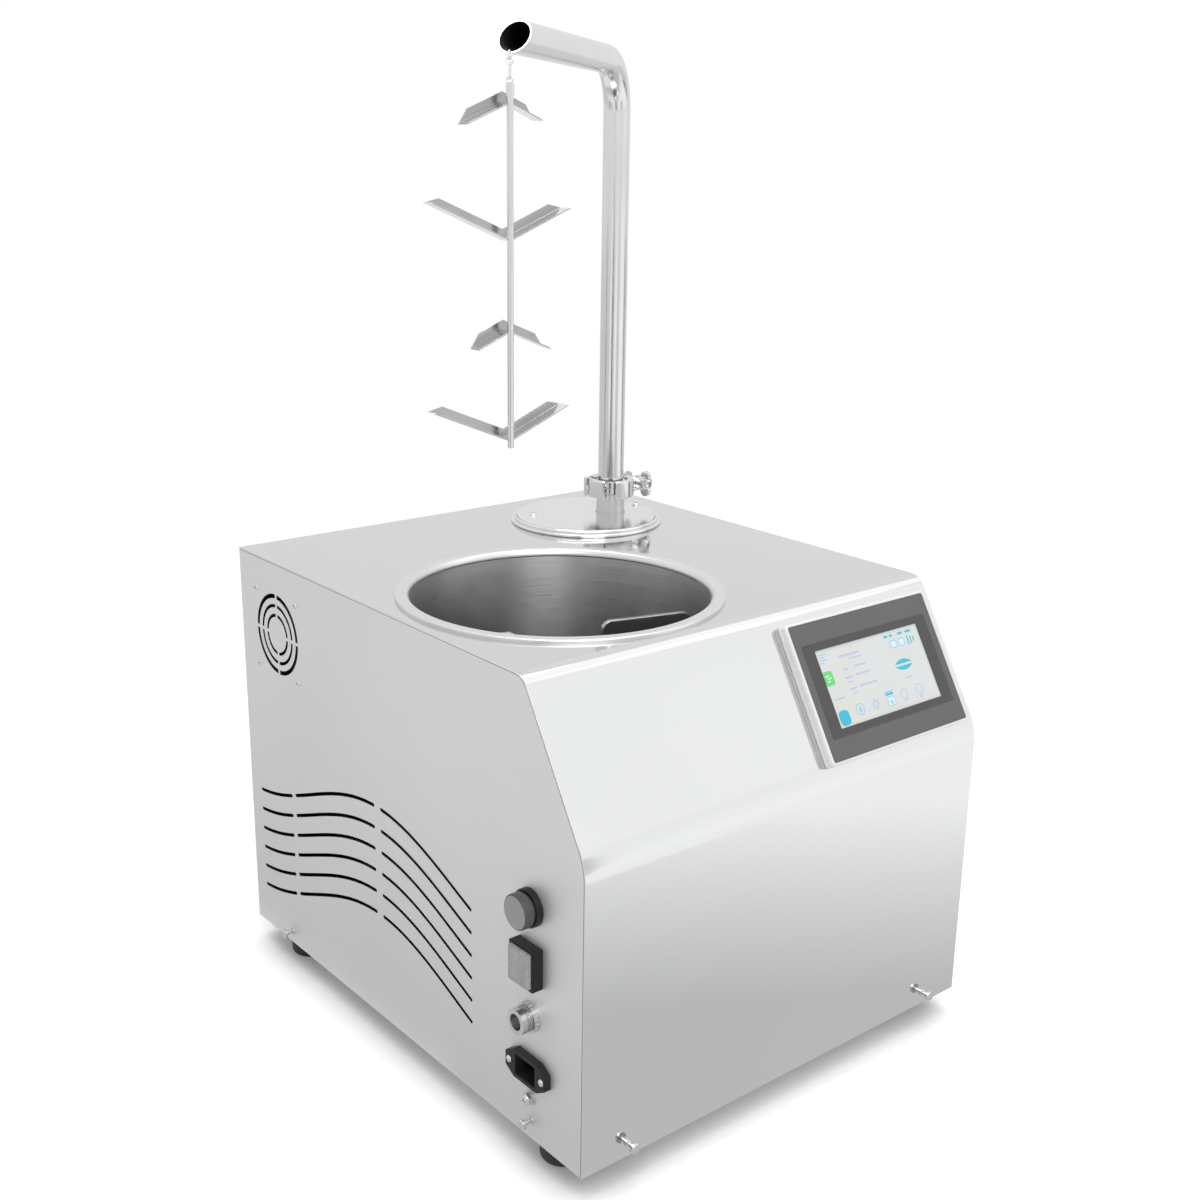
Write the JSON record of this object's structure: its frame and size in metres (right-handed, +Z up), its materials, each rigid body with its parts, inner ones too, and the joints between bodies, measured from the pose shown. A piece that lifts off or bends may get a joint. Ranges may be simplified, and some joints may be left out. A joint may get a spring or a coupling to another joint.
{
  "type": "chocolate melting tank",
  "caption": "Table-top stainless chocolate melting tank with a stirred heated bowl, gear pump, swivelling spout, hanging cascade vanes and a sloped touch display.",
  "frame": {"origin": "on the floor, under the middle of the machine's plan", "axes": "+X to the user's right, +Y from the sloped front to the rear panel, +Z up"},
  "size_m": [0.4472, 0.5172, 0.8366],
  "materials": {
    "cabinet_steel": "satin stainless sheet",
    "bright_steel": "polished stainless",
    "plain_steel": "plain stainless",
    "black_rubber": "matte black",
    "white_rubber": "matte white",
    "heater_brass": "dull brass",
    "jacket_cloth": "woven glass cloth",
    "sensor_white": "matte white",
    "motor_paint": "dark grey paint",
    "black_plastic": "matte black",
    "grey_plastic": "matte grey",
    "white_plastic": "pale grey moulding",
    "face_grey": "dark grey film",
    "screen_glass": "lit screen",
    "clear_hood": "clear flexible hood",
    "board_green": "green circuit board"
  },
  "bodies": {
    "cabinet": {"wrap_shell": "cabinet_steel", "left_panel": "cabinet_steel", "right_panel": "cabinet_steel", "rear_panel": "cabinet_steel", "base_tray": "plain_steel", "rubber_feet": "black_rubber", "foot_bolts": "plain_steel", "cabinet_screws": "plain_steel", "small_screws": "plain_steel", "tank_bowl": "bright_steel", "heater_band": "heater_brass", "insulation_jacket": "jacket_cloth", "temperature_sensor": "sensor_white", "shaft_seal": "black_rubber", "shaft_bearing": "heater_brass", "stirrer_gearmotor": "motor_paint", "stirrer_stand": "plain_steel", "suction_pipe": "plain_steel", "pump_body": "plain_steel", "pump_lid": "plain_steel", "pump_gearmotor": "motor_paint", "pump_stand": "plain_steel", "pump_cover": "bright_steel", "discharge_stub": "bright_steel", "clamp_gasket": "white_rubber", "clamp_front": "bright_steel", "clamp_left": "bright_steel", "clamp_rear": "bright_steel", "clamp_pins": "plain_steel", "display_housing": "white_plastic", "display_face": "face_grey", "display_screen": "screen_glass", "button_bezel": "black_plastic", "rocker_frame": "black_plastic", "rocker_hood": "clear_hood", "pedal_socket": "plain_steel", "power_inlet": "black_plastic", "inlet_pins": "heater_brass", "earth_terminal": "plain_steel", "fan_frame": "black_plastic", "control_board": "board_green", "power_supply": "motor_paint"},
    "stirrer": {"stirrer_shaft": "plain_steel", "stirrer_paddle": "bright_steel"},
    "drive_gear": {"drive_gear": "plain_steel"},
    "idler_gear": {"idler_gear": "plain_steel"},
    "fan_rotor": {"fan_rotor": "grey_plastic"},
    "spout": {"spout_pipe": "bright_steel"},
    "upper_ring": {"upper_ring": "bright_steel"},
    "lower_ring": {"lower_ring": "bright_steel"},
    "long_link": {"long_link": "bright_steel"},
    "cascade": {"vane_rod": "bright_steel", "vane_tier_1": "bright_steel", "vane_tier_2": "bright_steel", "vane_tier_3": "bright_steel", "vane_tier_4": "bright_steel"},
    "button": {"button_cap": "grey_plastic"},
    "rocker": {"rocker_key": "grey_plastic"},
    "swing_bolt": {"swing_bolt": "bright_steel"},
    "wing_nut": {"wing_nut": "bright_steel"}
  },
  "joints": [
    {"name": "stirrer_spin", "type": "hinge", "parent": "cabinet", "child": "stirrer", "pos_m": [-0.0606, -0.03405, 0.224], "axis": [0, 0, 1], "continuous": true},
    {"name": "pump_drive_spin", "type": "hinge", "parent": "cabinet", "child": "drive_gear", "pos_m": [0.12081, 0.10201, 0.249], "axis": [0, 0, 1], "continuous": true},
    {"name": "pump_idler_spin", "type": "hinge", "parent": "cabinet", "child": "idler_gear", "pos_m": [0.09699, 0.129, 0.249], "axis": [0, 0, 1], "continuous": true},
    {"name": "fan_spin", "type": "hinge", "parent": "cabinet", "child": "fan_rotor", "pos_m": [-0.1925, 0.186, 0.3275], "axis": [1, 0, 0], "continuous": true},
    {"name": "spout_swivel", "type": "hinge", "parent": "cabinet", "child": "spout", "pos_m": [0.1395, 0.1425, 0.4255], "axis": [0, 0, 1], "continuous": true},
    {"name": "upper_ring_swing", "type": "hinge", "parent": "spout", "child": "upper_ring", "pos_m": [-0.11021, -0.033, 0.81237], "axis": [0.575, -0.8181, 0], "range_deg": [-15, 15]},
    {"name": "lower_ring_swing", "type": "hinge", "parent": "upper_ring", "child": "lower_ring", "pos_m": [-0.11021, -0.033, 0.80767], "axis": [-0.8181, -0.575, 0], "range_deg": [-12, 12]},
    {"name": "long_link_swing", "type": "hinge", "parent": "lower_ring", "child": "long_link", "pos_m": [-0.11021, -0.033, 0.80402], "axis": [0.575, -0.8181, 0], "range_deg": [-10, 10]},
    {"name": "cascade_swing", "type": "hinge", "parent": "long_link", "child": "cascade", "pos_m": [-0.11021, -0.033, 0.79417], "axis": [-0.8181, -0.575, 0], "range_deg": [-10, 10]},
    {"name": "button_press", "type": "slide", "parent": "cabinet", "child": "button", "axis": [1, 0, 0], "range_m": [0, 0.0016], "stiffness_N_per_m": 400, "springref_m": -0.001},
    {"name": "rocker_tilt", "type": "hinge", "parent": "cabinet", "child": "rocker", "pos_m": [-0.21, -0.1902, 0.1733], "axis": [0, 1, 0], "range_deg": [-16, 0]},
    {"name": "bolt_swing", "type": "hinge", "parent": "cabinet", "child": "swing_bolt", "pos_m": [0.17219, 0.15416, 0.4255], "axis": [0, 0, 1], "range_deg": [0, 75]},
    {"name": "wing_nut_turn", "type": "hinge", "parent": "swing_bolt", "child": "wing_nut", "pos_m": [0.17447, 0.13792, 0.4255], "axis": [0.1392, -0.9903, 0], "continuous": true}
  ],
  "couplings": [
    {"joint": "pump_idler_spin", "follows": "pump_drive_spin", "ratio": -1}
  ]
}
